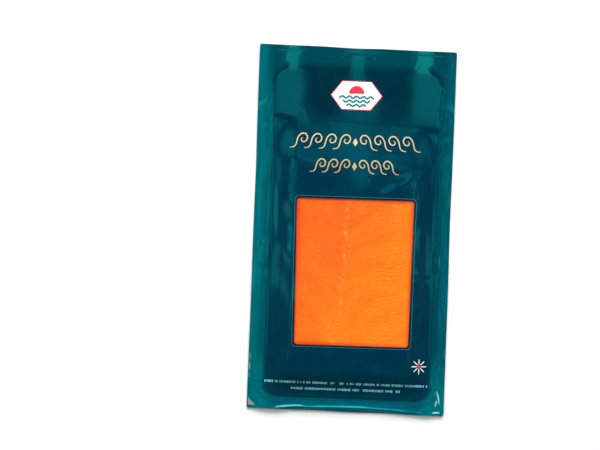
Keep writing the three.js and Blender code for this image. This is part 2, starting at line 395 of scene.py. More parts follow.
# %% The grid of the whole pack
WINDOW_FROM, WINDOW_REACH, CORNER_REACH = 2, 14.0, 8.0


def round_the_window(x, y):
    """Pushes the grid inwards at the four corners of the window."""
    left, right, bottom, top = OPENING
    depth = np.minimum(y - bottom, top - y)
    beyond = OPENING_CORNER * np.clip(1 + depth / CORNER_REACH, 0, 1) ** 2
    inset = np.where(depth >= 0, corner_inset(depth, OPENING_CORNER, OPENING_CORNER), beyond)
    for side, inward in ((left, 1), (right, -1)):
        x = x + inward * inset * np.clip(1 - np.abs(x - side) / CORNER_REACH, 0, 1)
    return x


def grid(rim, step, flank, flat, pane):
    """Grid of the whole pack as arrays of x and y, and the cells that lie in the window."""
    half_x, half_y = PACK_WIDTH / 2, PACK_LENGTH / 2
    left, right, bottom, top = PANEL
    w_left, w_right, w_bottom, w_top = OPENING
    xs = lines(
        [-half_x, left - STEP, left, w_left, w_right, right, right + STEP, half_x],
        [rim, step, flank, pane, flank, step, rim],
    )
    ys = lines(
        [-half_y, bottom - STEP, bottom, FISH[2] + FLANK_BOTTOM, w_bottom,
         w_top, FISH[3] - FLANK_TOP, FISH[3], top, top + STEP, half_y],
        [rim, step, flank, flat, pane, flat, flat, flat, step, rim],
    )
    arcs = arc_lines(OPENING_CORNER)
    ys = merge_lines(ys, [w_bottom + a for a in arcs], [w_top - a for a in arcs],
                     [a - half_y for a in arc_lines(CUT_CORNERS["right_bottom"])])
    x, y = np.meshgrid(xs, ys)
    middle_x, middle_y = (xs[:-1] + xs[1:]) / 2, (ys[:-1] + ys[1:]) / 2
    in_x = (middle_x > w_left) & (middle_x < w_right)
    in_y = (middle_y > w_bottom) & (middle_y < w_top)
    share = 1 - rising(outside(x, y, OPENING, 0), WINDOW_FROM, WINDOW_REACH)
    x, y = printed(round_the_window(x, y), y, share)
    return *cut_edge(x, y), in_y[:, None] & in_x[None, :]


# %% The cut edge wanders a little, and its corners are round
EDGE_WANDER = 0.45


def cut_edge(x, y):
    """Moves the outer rows and columns to the pack's own cut edge."""
    half_x, half_y = PACK_WIDTH / 2, PACK_LENGTH / 2
    reach = half_x - PANEL[1]
    along_x = np.cos(np.pi * x / PACK_WIDTH) ** 2
    along_y = np.cos(np.pi * y / PACK_LENGTH) ** 2
    new_x, new_y = x.copy(), y.copy()
    rim = rising(outside(x, y, PANEL, PANEL_CORNER), STEP, reach - STEP)
    new_x -= SIDE_SKEW * y * rim
    new_y -= END_SKEW * x * rim
    for side, sign in (("left", -1), ("right", 1)):
        near = np.clip(1 - np.abs(x - sign * half_x) / reach, 0, 1)
        pull = EDGE_WANDER * along_y * (0.6 + 0.4 * np.sin(y / 19 + sign))
        for end, depth in (("bottom", y + half_y), ("top", half_y - y)):
            radius = CUT_CORNERS[f"{side}_{end}"]
            pull = pull + corner_inset(depth, radius, radius)
        new_x -= sign * near * pull
    for sign in (-1, 1):
        near = np.clip(1 - np.abs(y - sign * half_y) / reach, 0, 1)
        new_y -= sign * near * EDGE_WANDER * along_x * (0.5 + 0.5 * np.sin(x / 9 + 2 * sign))
    return new_x, new_y


# %% From a grid and two heights to a closed mesh
SHARP = math.radians(50)


def new_piece(name, vertices, faces):
    """A mesh object from points in millimetres; its place is in its mesh."""
    mesh = bpy.data.meshes.new(name)
    mesh.from_pydata((np.asarray(vertices, float) * MM).tolist(), [], faces)
    mesh.validate()
    mesh.update()
    mesh.shade_smooth()
    mesh.set_sharp_from_angle(angle=SHARP)
    piece = bpy.data.objects.new(name, mesh)
    bpy.context.scene.collection.objects.link(piece)
    return piece


def slab(name, x, y, top, bottom, kept):
    """A closed mesh between two heights, over the kept cells of a grid."""
    number = np.arange(x.size).reshape(x.shape)
    a, b, c, d = number[:-1, :-1], number[:-1, 1:], number[1:, 1:], number[1:, :-1]
    cells = np.stack([a, b, c, d], -1)[kept]
    faces = [cells, cells[:, ::-1] + x.size]
    padded = np.pad(kept, 1)
    for start, stop, beside in (
        (a, b, padded[:-2, 1:-1]), (b, c, padded[1:-1, 2:]),
        (c, d, padded[2:, 1:-1]), (d, a, padded[1:-1, :-2]),
    ):
        open_side = kept & ~beside
        p, q = start[open_side], stop[open_side]
        faces.append(np.stack([p, p + x.size, q + x.size, q], -1))
    faces = np.concatenate(faces)
    points = np.concatenate([
        np.stack([x, y, top], -1).reshape(-1, 3), np.stack([x, y, bottom], -1).reshape(-1, 3),
    ])
    used, faces = np.unique(faces, return_inverse=True)
    piece = new_piece(name, points[used], faces.reshape(-1, 4).tolist())
    print(f"{name}: {len(used)} points, {len(piece.data.polygons)} faces")
    return piece, used % x.size


def store_numbers(piece, kept_points, **fields):
    """Stores fields over the grid as plain numbers on the points of a slab made from it."""
    for label, values in fields.items():
        layer = piece.data.attributes.new(label, "FLOAT", "POINT")
        layer.data.foreach_set("value", values.reshape(-1)[kept_points].astype(np.float32))


# %% The front film and the pane
FRONT_FILM = 0.28
BACK_FILM = 0.22
PANE_FILM = 0.2
HAIR = 0.02

x, y, in_window = grid(rim=0.45, step=0.4, flank=0.9, flat=1.1, pane=1.1)
height = front(x, y)
sealed = soft(outside(x, y, PANEL, PANEL_CORNER) / STEP)
inside = (height - FRONT_FILM) * (1 - sealed) + (rim_lift(x, y) + BACK_FILM - HAIR) * sealed
front_film, kept_points = slab("front_film", x, y, height, inside, ~in_window)
# The sharpest crests are stored as pale: painted glints on whitened film.
store_numbers(front_film, kept_points, pale=painted_glint_crests(x, y))

near = np.pad(in_window, 1)
tucked_in = (near[1:-1, 1:-1] | near[:-2, 1:-1] | near[2:, 1:-1]
             | near[1:-1, :-2] | near[1:-1, 2:])
pane_top = height - FRONT_FILM - HAIR
window_film, _ = slab("window_film", x, y, pane_top, pane_top - PANE_FILM, tucked_in)

# %% The back film
x, y, _ = grid(rim=1.4, step=1.0, flank=2.5, flat=3.0, pane=3.5)
lift = rim_lift(x, y)
back_film, _ = slab("back_film", x, y, lift + BACK_FILM, lift, np.ones_like(x[1:, 1:], bool))

# %% [markdown]
# ## The salmon
#
# Only the top slice shows. A slice cut along a side of salmon shows its muscle as a fan of thin
# pale lines that meet in a V at a seam, and down that seam runs a row of paler spots where the
# pin bones were. The lines, where they show, and the spots are stored on the mesh as three plain
# numbers for each point, so that the finish can read them at any distance. The lines are also
# pressed into the surface as low ridges.

# %% Muscle lines
SEAM_POINTS = [(-11.0, -89.5), (-12.0, -78.0), (-6.4, -62.0), (-5.4, -32.0), (-4.6, -2.0),
               (-4.0, 24.0)]
LINE_SPACING = 2.6
HOOK, HOOK_REACH = -1.3, 8
RIGHT_SLOPE, RIGHT_RISE, RIGHT_REACH = 0.26, 4.6, 26
LEFT_SLOPE, LEFT_BEND = -0.80, -0.007


def seam_x(y):
    """Where the seam between the two sides of the slice runs."""
    across, along = zip(*SEAM_POINTS)
    return np.interp(y, along, across)


def muscle(x, y):
    """Counts the muscle lines: one more for each line crossed along the slice."""
    off = x - seam_x(y)
    hook = HOOK * np.sin(np.pi * np.clip(off / HOOK_REACH, 0, 1))
    right = RIGHT_SLOPE * off + 2 * RIGHT_RISE * soft(off / RIGHT_REACH) + hook
    left = LEFT_SLOPE * off + LEFT_BEND * off**2
    rise = np.where(off > 0, right, left)
    sway = 0.9 * ripples(x, y, 34, seed=21, waves=7) + 0.6 * ripples(x, y, 12, seed=22, waves=7)
    return (y - rise + sway) / LINE_SPACING


def marbling(x, y):
    """Where the muscle lines show, from 0 to 1; they come and go in patches."""
    patches = ripples(x, y, 26, seed=23) + 0.8 * ripples(x, y, 9, seed=24)
    fainter = 0.3 * soft((seam_x(y) - x) / 8) * soft((y + 66) / 12)
    return soft(0.5 + 0.42 * patches) * (1 - fainter)


# %% Pin bone spots
FAINT_FROM, FAINT_TO, FAINT_PITCH, FAINT_WANDER = -70, 22, 2.9, 0.8
# place across and along the pack, and strength
BONES = [(-3.2, 22.2, 0.5), (-5.1, 15.0, 0.5), (-3.7, 9.2, 0.4), (-5.1, -2.3, 1.0),
         (-7.0, -13.8, 0.4), (-5.1, -19.6, 1.0), (-3.7, -25.4, 0.5), (-6.1, -31.2, 0.6),
         (-5.6, -38.8, 0.5), (-6.5, -55.7, 1.0), (-6.1, -62.9, 0.5), (-6.1, -67.2, 0.4),
         (-15.2, -74.4, 0.7), (-21.9, -75.4, 0.4), (-13.3, -80.7, 0.9), (-11.8, -86.0, 0.9)]


def pin_bones(x, y):
    """Pale spots down the seam, from 0 to 1, with fainter ones between them."""
    draw = np.random.RandomState(8)
    total = np.zeros_like(x)
    places = np.arange(FAINT_FROM, FAINT_TO, FAINT_PITCH)
    places += draw.uniform(-FAINT_WANDER, FAINT_WANDER, len(places))
    faint = [(seam_x(place_y) + draw.uniform(-0.5, 1.1), place_y, draw.uniform(0.1, 0.38))
             for place_y in places]
    for place_x, place_y, strength in BONES + faint:
        size = 0.6 + 0.4 * strength
        length = draw.uniform(1.0, 1.8)
        off = ((x - place_x) / size) ** 2 + ((y - place_y) / (size * length)) ** 2
        total += strength * np.exp(-off)
    return np.clip(total, 0, 1)


# %% The slab of slices
FISH_EDGE = 0.2
UNDER_FILM, FISH_FLOOR, LEAST_FISH = 0.6, 0.9, 0.3
RIDGE, SPOT_DEPTH = 0.016, 0.03
SHOWN_STEP, HIDDEN_STEP, FAR_STEP, BEYOND_WINDOW = 0.6, 1.5, 2.0, 1
reach_top, reach_bottom = (1 - FISH_EDGE) * FLANK_TOP, (1 - FISH_EDGE) * FLANK_BOTTOM
low_x, high_x = FISH[0] + FISH_EDGE * FLANK_LEFT, FISH[1] - FISH_EDGE * FLANK_RIGHT
low_y, high_y = FISH[2] + FISH_EDGE * FLANK_BOTTOM, FISH[3] - FISH_EDGE * FLANK_TOP
xs = lines(
    [low_x, OPENING[0] - BEYOND_WINDOW, OPENING[1] + BEYOND_WINDOW, high_x],
    [HIDDEN_STEP, SHOWN_STEP, HIDDEN_STEP],
)
ys = merge_lines(
    lines([low_y, OPENING[2] - BEYOND_WINDOW, OPENING[3] + BEYOND_WINDOW, high_y],
          [HIDDEN_STEP, SHOWN_STEP, FAR_STEP]),
    [low_y + a for a in arc_lines(reach_bottom)], [high_y - a for a in arc_lines(reach_top)],
)
x, y = np.meshgrid(xs, ys)
inset = corner_inset(y - low_y, 1, reach_bottom) + corner_inset(high_y - y, 1, reach_top)
fish_middle = (low_x + high_x) / 2
reach_x = (1 - FISH_EDGE) * np.where(x < fish_middle, FLANK_LEFT, FLANK_RIGHT)
x = fish_middle + (x - fish_middle) * (1 - inset * reach_x / (high_x - fish_middle))
y = TAPER_FROM + (y - TAPER_FROM) * (1 - FISH_TAPER * x)

count, spots, shows = muscle(x, y), pin_bones(x, y), marbling(x, y)
ridges = RIDGE * shows * (np.cos(math.tau * count) - 1) - SPOT_DEPTH * spots
fish_top = np.maximum(front(x, y) - UNDER_FILM + ridges, FISH_FLOOR + LEAST_FISH)
salmon, kept_points = slab("salmon_slices", x, y, fish_top, np.full_like(x, FISH_FLOOR),
                           np.ones_like(x[1:, 1:], bool))
store_numbers(salmon, kept_points, muscle=count, pin_bones=spots, marbling=shows)

# %% [markdown]
# ## Printed marks
#
# The print is made of thin plates of ink laid on the film. A plate is a ring of points filled
# towards its middle, and a stroke is a strip along a path. Each is modelled flat, a few
# hundredths of a millimetre thick, and then laid on the film: every point is raised by the
# height of the film under it.

# %% Laying a flat piece on the film
INK = 0.05


def lay_on_film(piece, turn=PRINT_TURN):
    """Turns a flat piece a little about its middle and raises it to the film under it."""
    points = np.empty(len(piece.data.vertices) * 3)
    piece.data.vertices.foreach_get("co", points)
    points = points.reshape(-1, 3)
    middle = (points[:, :2].min(0) + points[:, :2].max(0)) / 2
    c, s = math.cos(turn), math.sin(turn)
    points[:, :2] = middle + (points[:, :2] - middle) @ np.array([[c, s], [-s, c]])
    points[:, 2] += front(points[:, 0] / MM, points[:, 1] / MM) * MM
    piece.data.vertices.foreach_set("co", points.reshape(-1))
    piece.data.update()
    return piece


def ink_heights(layer):
    """Top and bottom of one layer of ink over the film."""
    return INK * layer, INK * (layer - 1) + HAIR


# %% Plates of ink


def plate(name, outline, layer=1, rings=6):
    """A flat closed plate of ink; layer 2 lies on layer 1."""
    outline = np.asarray(outline, float)
    middle = outline.mean(0)
    size = len(outline)
    vertices, faces = [], []
    for height in ink_heights(layer):
        for ring in range(rings, 0, -1):
            flat = middle + (outline - middle) * ring / rings
            vertices.extend((px, py, height) for px, py in flat)
        vertices.append((*middle, height))
    under = rings * size + 1
    for ring in range(rings - 1):
        for i in range(size):
            a, b = ring * size + i, ring * size + (i + 1) % size
            c, d = b + size, a + size
            faces.append((a, b, c, d))
            faces.append((d + under, c + under, b + under, a + under))
    last = (rings - 1) * size
    for i in range(size):
        a, b = last + i, last + (i + 1) % size
        faces.append((a, b, under - 1))
        faces.append((b + under, a + under, 2 * under - 1))
        p, q = i, (i + 1) % size
        faces.append((p + under, q + under, q, p))
    return new_piece(name, vertices, faces)


# %% Strokes of ink, and the paths that they follow


def stroke(name, path, widths, layer=1, closed=False):
    """A flat closed strip of ink along a path."""
    path = np.asarray(path, float)
    ahead = np.roll(path, -1, 0) - np.roll(path, 1, 0)
    if not closed:
        ahead[0], ahead[-1] = path[1] - path[0], path[-1] - path[-2]
    ahead /= np.hypot(ahead[:, :1], ahead[:, 1:])
    side = np.stack([-ahead[:, 1], ahead[:, 0]], -1) * np.reshape(widths, (-1, 1)) / 2
    top, bottom = ink_heights(layer)
    vertices = []
    for line, height in ((path - side, top), (path + side, top),
                         (path + side, bottom), (path - side, bottom)):
        vertices.extend((px, py, height) for px, py in line)
    size = len(path)
    faces = []
    for i in range(size if closed else size - 1):
        j = (i + 1) % size
        for k in range(4):
            low, high = k * size, (k + 1) % 4 * size
            faces.append((low + i, low + j, high + j, high + i))
    if not closed:
        faces.append((0, size, 2 * size, 3 * size))
        faces.append((size - 1, 4 * size - 1, 3 * size - 1, 2 * size - 1))
    return new_piece(name, vertices, faces)


def dense(corners, step):
    """Points along a closed outline, no further apart than the step."""
    found = []
    for here, there in zip(corners, corners[1:] + corners[:1]):
        count = max(1, math.ceil(math.dist(here, there) / step))
        for part in (k / count for k in range(count)):
            found.append(tuple(a + (b - a) * part for a, b in zip(here, there)))
    return found


def arc(middle, radius, first, last, pieces):
    """Points along an arc; angles in degrees."""
    angles = np.radians(np.linspace(first, last, pieces + 1))
    return [(middle[0] + radius * math.cos(a), middle[1] + radius * math.sin(a)) for a in angles]


# %% The fine line round the window
LINE_OFF, LINE_WIDTH, LINE_CORNER = 1.6, 0.4, 3.2
FURTHER_RIGHT, LINE_SHARE = 0.3, 0.8
left, right = OPENING[0] - LINE_OFF, OPENING[1] + LINE_OFF + FURTHER_RIGHT
bottom, top = OPENING[2] - LINE_OFF, OPENING[3] + LINE_OFF
corners = []
for corner_x, corner_y, first in ((right, bottom, -90), (right, top, 0),
                                  (left, top, 90), (left, bottom, 180)):
    middle = (corner_x - math.copysign(LINE_CORNER, corner_x),
              corner_y - math.copysign(LINE_CORNER, corner_y))
    corners.extend(arc(middle, LINE_CORNER, first, first + 90, 6))
line_path = np.array(dense(corners, step=1.2))
line_path = np.stack(printed(line_path[:, 0], line_path[:, 1], LINE_SHARE), -1)
window_line = lay_on_film(stroke("window_line", line_path, LINE_WIDTH, closed=True), turn=0)
print("window line:", len(window_line.data.polygons), "faces")

# %% [markdown]
# ## Rows of one repeated shape
#
# The gold waves under the badge and the small ticks near the bottom are the same shape over and
# over. Geometry Nodes makes a row: a line of points, one copy of the shape on each, some of them
# left out at random, each with a little change of size, and then real mesh again.

# %% Numbers in a node tree


class Wire:
    """An output socket. Python's operators on it add Math nodes."""

    def __init__(self, bench, socket):
        self.bench = bench
        self.socket = socket

    def __add__(self, other):
        return self.bench.math("ADD", self, other)

    __radd__ = __add__

    def __sub__(self, other):
        return self.bench.math("SUBTRACT", self, other)

    def __rsub__(self, other):
        return self.bench.math("SUBTRACT", other, self)

    def __mul__(self, other):
        return self.bench.math("MULTIPLY", self, other)

    def __truediv__(self, other):
        return self.bench.math("DIVIDE", self, other)

    def __abs__(self):
        return self.bench.math("ABSOLUTE", self)


# %% A helper that builds node trees


class Bench:
    """A node tree that is being built."""

    def __init__(self, tree):
        self.tree = tree

    def node(self, kind, settings=None, sockets=None, out=0):
        """Adds a node, sets it up, fills its sockets and gives back one output."""
        made = self.tree.nodes.new(kind)
        for name, value in (settings or {}).items():
            setattr(made, name, value)
        for name, value in (sockets or {}).items():
            socket = made.inputs[name]
            if isinstance(value, Wire):
                self.link(value, socket)
            else:
                socket.default_value = value
        return Wire(self, made.outputs[out]) if made.outputs else made

    def split(self, vector):
        """The three parts of a vector."""
        parts = self.tree.nodes.new("ShaderNodeSeparateXYZ")
        self.link(vector, parts.inputs[0])
        return [Wire(self, part) for part in parts.outputs]

    def link(self, wire, socket):
        """Links an output to an input."""
        self.tree.links.new(wire.socket, socket)

    def math(self, operation, *values):
        """A Math node on numbers and wires."""
        return self.node("ShaderNodeMath", {"operation": operation}, dict(enumerate(values)))

    def clamp(self, value, low, high):
        """The value's place between two limits, from 0 to 1, with soft ends."""
        return self.node("ShaderNodeMapRange", {"interpolation_type": "SMOOTHSTEP"}, {
            "Value": value, "From Min": low, "From Max": high,
        })

    def noise(self, place, scale, detail):
        """A field of soft noise."""
        return self.node("ShaderNodeTexNoise", None, {
            "Vector": place, "Scale": scale, "Detail": detail,
        })

    def stored(self, label):
        """A number that is stored on the mesh."""
        return self.node("ShaderNodeAttribute", {"attribute_name": label}, out=2)

    def mix(self, factor, first, second):
        """One colour turning into another."""
        return self.node("ShaderNodeMix", {"data_type": "RGBA"}, {
            0: factor, 6: first, 7: second,
        }, out=2)


# %% The tree that makes a row


def row_tree(name):
    """Copies of one shape in a row, each a little different in size."""
    tree = bpy.data.node_groups.new(name, "GeometryNodeTree")
    face = tree.interface
    face.new_socket("Geometry", in_out="OUTPUT", socket_type="NodeSocketGeometry")
    for label, kind in (
        ("Shape", "NodeSocketObject"), ("Count", "NodeSocketInt"),
        ("Start", "NodeSocketVector"), ("Step", "NodeSocketVector"),
        ("Least Size", "NodeSocketVector"), ("Most Size", "NodeSocketVector"),
        ("Share Left Out", "NodeSocketFloat"), ("Seed", "NodeSocketInt"),
        ("Ink", "NodeSocketMaterial"),
    ):
        face.new_socket(label, in_out="INPUT", socket_type=kind)
    bench = Bench(tree)
    given = tree.nodes.new("NodeGroupInput")
    inlet = {s.name: Wire(bench, s) for s in given.outputs if s.name}
    points = bench.node("GeometryNodeMeshLine", {"mode": "OFFSET"}, {
        "Count": inlet["Count"], "Start Location": inlet["Start"], "Offset": inlet["Step"],
    })
    left_out = bench.node("FunctionNodeRandomValue", {"data_type": "BOOLEAN"}, {
        "Probability": inlet["Share Left Out"], "Seed": inlet["Seed"],
    }, out=3)
    spaced = bench.node("GeometryNodeDeleteGeometry", {"domain": "POINT"}, {
        "Geometry": points, "Selection": left_out,
    })
    size = bench.node("FunctionNodeRandomValue", {"data_type": "FLOAT_VECTOR"}, {
        0: inlet["Least Size"], 1: inlet["Most Size"], "Seed": inlet["Seed"],
    })
    shape = bench.node("GeometryNodeObjectInfo", None, {"Object": inlet["Shape"]}, out=-1)
    copies = bench.node("GeometryNodeInstanceOnPoints", None, {
        "Points": spaced, "Instance": shape, "Scale": size,
    })
    real = bench.node("GeometryNodeRealizeInstances", None, {"Geometry": copies})
    inked = bench.node("GeometryNodeSetMaterial", None, {
        "Geometry": real, "Material": inlet["Ink"],
    })
    bench.node("NodeGroupOutput", None, {"Geometry": inked})
    return tree


ROW = row_tree("row_of_shapes")
print("row tree:", [s.name for s in ROW.interface.items_tree])


# %% Turning a row into a plain piece


def row(name, shape, count, start, pitch, ink, least=1.0, most=1.0, left_out=0.0, seed=0):
    """A row of copies as one plain mesh, still flat."""
    holder = bpy.data.objects.new(name, bpy.data.meshes.new(name))
    bpy.context.scene.collection.objects.link(holder)
    maker = holder.modifiers.new("row", "NODES")
    maker.node_group = ROW
    values = {
        "Shape": shape, "Count": count, "Start": (start[0] * MM, start[1] * MM, 0),
        "Step": (pitch * MM, 0, 0), "Least Size": (least, least, 1), "Most Size": (most, most, 1),
        "Share Left Out": left_out, "Seed": seed, "Ink": ink,
    }
    for socket in ROW.interface.items_tree:
        if socket.in_out == "INPUT":
            maker[socket.identifier] = values[socket.name]
    view = bpy.context.evaluated_depsgraph_get()
    mesh = bpy.data.meshes.new_from_object(holder.evaluated_get(view))
    holder.modifiers.clear()
    holder.data = mesh
    mesh.name = name
    return holder


# %% [markdown]
# ## Finishes
#
# The film's ink is a see-through teal. Over the white seal it looks lighter, over the panel it
# turns almost navy, and a solid dark border frames the window. Its gloss mirrors a little teal
# as well, so even the brightest mirrored lamp stays a green blue. Some light is painted into the
# ink too: reflections on the side seals, a highlight along the bottom fold, glints on the
# sharpest crests and a little shade over the step at the hanging end. On the salmon, shade is
# painted along the edge of the window.

# %% Starting a finish


def principled(name, **constants):
    """A material with one Principled shader; gives back the material, bench and shader."""
    made = bpy.data.materials.new(name)
    made.use_nodes = True
    shader = made.node_tree.nodes["Principled BSDF"]
    for label, value in constants.items():
        shader.inputs[label.replace("_", " ").title().replace("Ior", "IOR")].default_value = value
    return made, Bench(made.node_tree), shader


def object_place(bench):
    """The point on the piece, and its parts in millimetres."""
    where = bench.node("ShaderNodeTexCoord", out=3)
    px, py = (part / MM for part in bench.split(where)[:2])
    return where, px, py


def far_from(bench, px, py, box, corner):
    """The distance outside a rounded rectangle, in millimetres, as nodes."""
    left, right, bottom, top = box
    over_x = abs(px - (left + right) / 2) - ((right - left) / 2 - corner)
    over_y = abs(py - (bottom + top) / 2) - ((top - bottom) / 2 - corner)
    out_x = bench.math("MAXIMUM", over_x, 0.0)
    out_y = bench.math("MAXIMUM", over_y, 0.0)
    past = bench.math("SQRT", out_x * out_x + out_y * out_y)
    inner = bench.math("MINIMUM", bench.math("MAXIMUM", over_x, over_y), 0.0)
    return past + inner - corner


# %% Teal ink on glossy film: its colours and where they change
INK_ON_TOP_SEAL = (0.0, 0.042, 0.064, 1)
# The bottom seal's ink is painted lighter along the fold: a painted highlight over the seal's teal.
BOTTOM_SEAL_INK_AND_HIGHLIGHT = (0.0, 0.068, 0.105, 1)
# The side seals' pairs are teal ink with painted reflections, the second one brighter, for the cut
# edge.
LEFT_SEAL_INK_AND_REFLECTION = ((0.0, 0.070, 0.094, 1), (0.0, 0.110, 0.134, 1))
RIGHT_SEAL_INK_AND_REFLECTION = ((0.0, 0.035, 0.062, 1), (0.0, 0.068, 0.098, 1))
INK_ON_PANEL = (0.0, 0.0115, 0.029, 1)
INK_BY_WINDOW = (0.0, 0.0185, 0.048, 1)
INK_BORDER = (0.0, 0.008, 0.024, 1)
# The crest colour is a painted glint on whitened film.
GLINT_PAINT = (0.42, 0.84, 0.84, 1)
TEAL_GLOSS = (0.02, 1.0, 0.86, 1)
# Each zone grows from 0 to 1 between two places, in millimetres along the pack.
ZONES = {
    "at_top": (100.0, 124.0), "by_window": (95.0, 60.0), "slope": (92.0, 79.0),
    "flank": (52.0, 40.0), "reflection_near_corners": (-92.0, -124.0), "low_down": (-112.0, -126.0),
    "bottom_seal": (-122.0, -130.0), "fold_highlight": (-124.0, -132.0),
}
# And across it, from the middle. Towards the cut edge and on the left the seal's ink is painted
# brighter: painted reflections laid over the seal's own teal.
TOP_INK_ACROSS, FOLD_HIGHLIGHT_ACROSS, DULL_ACROSS = (74.0, 62.0), (66.0, 46.0), (66.0, 58.0)
REFLECTION_OUTWARD, REFLECTION_LEFTWARD = (64.0, 73.0), (40.0, -60.0)
# The panel's edge in the ink is uneven, and wider at the top and low down. At the top the dark
# panel ink reaches over the step, partly as the print's soft edge and partly as painted shade that
# evens out the key lamp's light on that slope.
SEAL_FROM, SEAL_TO, SHADE_OVER_TOP_STEP, WIDER_LOW_DOWN = -0.6, 1.0, 5.2, (-2.6, 6.0)
CLOUD, MOTTLED = (28.0, 2.0), (45.0, 3.0)
EDGE_UNEVEN, SIDE_UNEVEN, REFLECTION_AT_CORNERS = 1.2, 9, 9
MOTTLED_FROM, MOTTLED_SHARE = (0.42, 0.62), 0.2

teal_film, bench, shader = principled(
    "teal_film", roughness=0.1, specular_tint=TEAL_GLOSS, ior=1.5,
)
where, px, py = object_place(bench)
zone = {name: bench.clamp(py, *ends) for name, ends in ZONES.items()}
from_panel = far_from(bench, px, py, PANEL, PANEL_CORNER)
from_window = far_from(bench, px, py, OPENING, OPENING_CORNER)
cloud = bench.noise(where, *CLOUD) - 0.5
seal_from = zone["low_down"] * WIDER_LOW_DOWN[0] + SEAL_FROM
# At the top the seal's ink starts further out: painted shade over the step.
seal_to = zone["at_top"] * SHADE_OVER_TOP_STEP + zone["low_down"] * WIDER_LOW_DOWN[1] + SEAL_TO
on_seal = bench.clamp(from_panel + cloud * EDGE_UNEVEN, seal_from, seal_to)
print("teal film: zones", list(zone))

# %% Teal ink: the seal with its painted reflections, the panel, the border and painted glints
# Painted reflections: the side seals are painted brighter outwards, on the left and round the lower
# corners.
off_middle = abs(px) + cloud * SIDE_UNEVEN + zone["reflection_near_corners"] * REFLECTION_AT_CORNERS
painted_reflection_outward = bench.clamp(off_middle, *REFLECTION_OUTWARD)
painted_reflection_leftward = bench.math("MAXIMUM", bench.clamp(px, *REFLECTION_LEFTWARD), zone["reflection_near_corners"])
side_ink_and_reflection = bench.mix(
    painted_reflection_leftward, bench.mix(painted_reflection_outward, *RIGHT_SEAL_INK_AND_REFLECTION), bench.mix(painted_reflection_outward, *LEFT_SEAL_INK_AND_REFLECTION),
)
top_share = zone["at_top"] * bench.clamp(abs(px), *TOP_INK_ACROSS)
# Painted highlight: the bottom seal is painted lighter along its fold.
fold_highlight_share = zone["fold_highlight"] * bench.clamp(abs(px), *FOLD_HIGHLIGHT_ACROSS)
seal_ink_and_painted_light = bench.mix(top_share, side_ink_and_reflection, INK_ON_TOP_SEAL)
seal_ink_and_painted_light = bench.mix(fold_highlight_share, seal_ink_and_painted_light, BOTTOM_SEAL_INK_AND_HIGHLIGHT)
panel_ink = bench.mix(zone["by_window"], INK_ON_PANEL, INK_BY_WINDOW)
mottled = bench.clamp(bench.noise(where, *MOTTLED), *MOTTLED_FROM) * MOTTLED_SHARE
panel_ink = bench.mix(mottled, panel_ink, INK_ON_TOP_SEAL)
ink = bench.mix(on_seal, panel_ink, seal_ink_and_painted_light)
ink = bench.mix(bench.clamp(from_window, LINE_OFF, LINE_OFF - LINE_WIDTH), ink, INK_BORDER)
# Painted glints: the sharpest crests are painted a pale teal.
ink = bench.mix(bench.stored("pale"), ink, GLINT_PAINT)
bench.link(ink, shader.inputs["Base Color"])

# %% Teal film: how sharply each zone mirrors
MIRROR_SEAL, MIRROR_PANEL, MIRROR_SLOPE = 0.03, 0.045, 0.1
MIRROR_FLANK, MIRROR_BOTTOM = 0.065, 0.18
over_panel = bench.clamp(from_panel, 0.0, -4.0)
over_fish = zone["slope"] * over_panel
at_bottom = zone["bottom_seal"] * on_seal * bench.clamp(abs(px), *DULL_ACROSS)
rough = MIRROR_SEAL + over_panel * (MIRROR_PANEL - MIRROR_SEAL)
rough = rough + over_fish * (MIRROR_SLOPE - MIRROR_PANEL)
rough = rough + zone["flank"] * over_fish * (MIRROR_FLANK - MIRROR_SLOPE)
rough = rough + at_bottom * (MIRROR_BOTTOM - MIRROR_SEAL)
bench.link(rough, shader.inputs["Roughness"])
print("teal film:", len(bench.tree.nodes), "nodes")

# %% The back film and the plain inks
PLAIN_ROUGHNESS = 0.3
back_ink, _, _ = principled(
    "back_film_ink", base_color=(0.0, 0.05, 0.065, 1), roughness=PLAIN_ROUGHNESS,
    specular_tint=TEAL_GLOSS,
)
INKS = {
    "line_ink": (0.022, 0.135, 0.17, 1), "gold_ink": (0.58, 0.41, 0.18, 1),
    "white_ink": (0.93, 0.96, 0.95, 1), "pale_ink": (0.26, 0.27, 0.185, 1),
    "ice_ink": (0.22, 0.66, 0.80, 1), "red_ink": (0.80, 0.02, 0.05, 1),
    "teal_ink": (0.01, 0.2, 0.2, 1),
}
plain_inks = {
    name: principled(name, base_color=colour, roughness=PLAIN_ROUGHNESS)[0]
    for name, colour in INKS.items()
}
print("plain inks:", list(plain_inks))

# %% Clear film: almost nothing but its gloss
CLEAR_GLOSS, CLEAR_ROUGHNESS = 0.012, 0.15
clear_film = bpy.data.materials.new("clear_film")
clear_film.use_nodes = True
clear_film.node_tree.nodes.clear()
bench = Bench(clear_film.node_tree)
facing = bench.node("ShaderNodeLayerWeight", None, {"Blend": 0.5}, out=1)
mirror = bench.math("POWER", facing, 5.0) * 0.9 + CLEAR_GLOSS
through = bench.node("ShaderNodeBsdfTransparent")
gloss = bench.node("ShaderNodeBsdfGlossy", None, {"Roughness": CLEAR_ROUGHNESS})
film = bench.node("ShaderNodeMixShader", None, {0: mirror, 1: through, 2: gloss})
bench.node("ShaderNodeOutputMaterial", None, {"Surface": film})
print("clear film:", len(bench.tree.nodes), "nodes")

